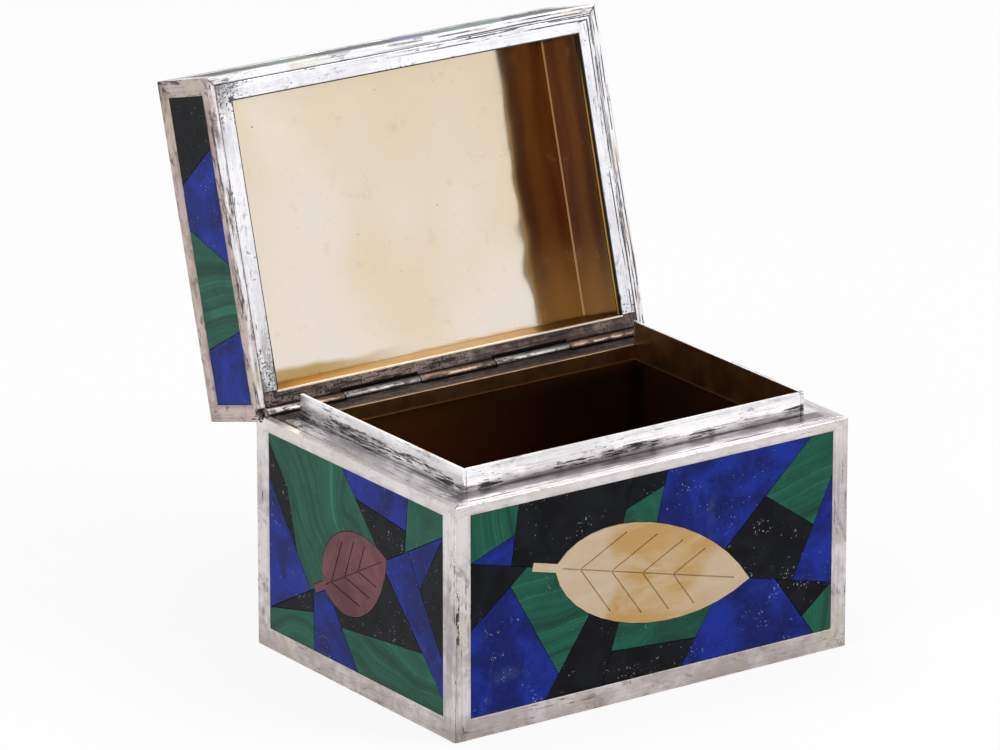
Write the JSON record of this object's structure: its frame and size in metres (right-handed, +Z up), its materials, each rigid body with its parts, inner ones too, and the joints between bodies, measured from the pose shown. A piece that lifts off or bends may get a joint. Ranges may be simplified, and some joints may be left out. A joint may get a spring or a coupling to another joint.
{
  "type": "presentation box",
  "caption": "Rectangular silver presentation box with stone mosaic panels in its faces, a gilt-lined double wall, a raised collar and a hinged lid that leans back on a bevelled stop.",
  "frame": {"origin": "centre of the underside of the base", "axes": "+Z up, the front faces -Y, +X is to the right seen from the front; the lid is stored open on its stop"},
  "size_m": [0.13, 0.1421, 0.1555],
  "materials": {
    "silver": "satin",
    "gilt": "polished",
    "onyx": "gloss",
    "lapis": "gloss",
    "malachite": "gloss",
    "agate": "gloss",
    "jasper": "gloss",
    "mosaic": "gloss"
  },
  "bodies": {
    "box": {"back_frame": "silver", "back_leaf": "agate", "back_mosaic": "mosaic", "base_plate": "silver", "body_hinge_bearer": "silver", "body_knuckle_1": "silver", "body_knuckle_2": "silver", "body_liner": "gilt", "body_shell": "silver", "collar_back": "silver", "collar_front": "silver", "collar_left": "silver", "collar_right": "silver", "front_frame": "silver", "front_lapis_01": "lapis", "front_lapis_04": "lapis", "front_lapis_08": "lapis", "front_lapis_12": "lapis", "front_lapis_16": "lapis", "front_leaf": "agate", "front_malachite_03": "malachite", "front_malachite_05": "malachite", "front_malachite_09": "malachite", "front_malachite_11": "malachite", "front_malachite_14": "malachite", "front_malachite_18": "malachite", "front_onyx_02": "onyx", "front_onyx_06": "onyx", "front_onyx_07": "onyx", "front_onyx_10": "onyx", "front_onyx_13": "onyx", "front_onyx_15": "onyx", "front_onyx_17": "onyx", "hinge_pin": "silver", "ledge_plate": "silver", "left_frame": "silver", "left_leaf": "jasper", "left_mosaic": "mosaic", "right_frame": "silver", "right_leaf": "jasper", "right_mosaic": "mosaic"},
    "lid": {"lid_back_frame": "silver", "lid_back_mosaic": "mosaic", "lid_front_frame": "silver", "lid_front_mosaic": "mosaic", "lid_hinge_bearer": "silver", "lid_knuckle_1": "silver", "lid_knuckle_2": "silver", "lid_knuckle_3": "silver", "lid_left_frame": "silver", "lid_left_mosaic": "mosaic", "lid_liner": "gilt", "lid_right_frame": "silver", "lid_right_mosaic": "mosaic", "lid_rim": "silver", "lid_shell": "silver", "lid_top_frame": "silver", "lid_top_leaf": "agate", "lid_top_mosaic": "mosaic"}
  },
  "joints": [
    {"name": "lid_hinge", "type": "hinge", "parent": "box", "child": "lid", "pos_m": [0, 0.04555, 0.06607], "axis": [-1, 0, 0], "range_deg": [-105.5, 0]}
  ]
}
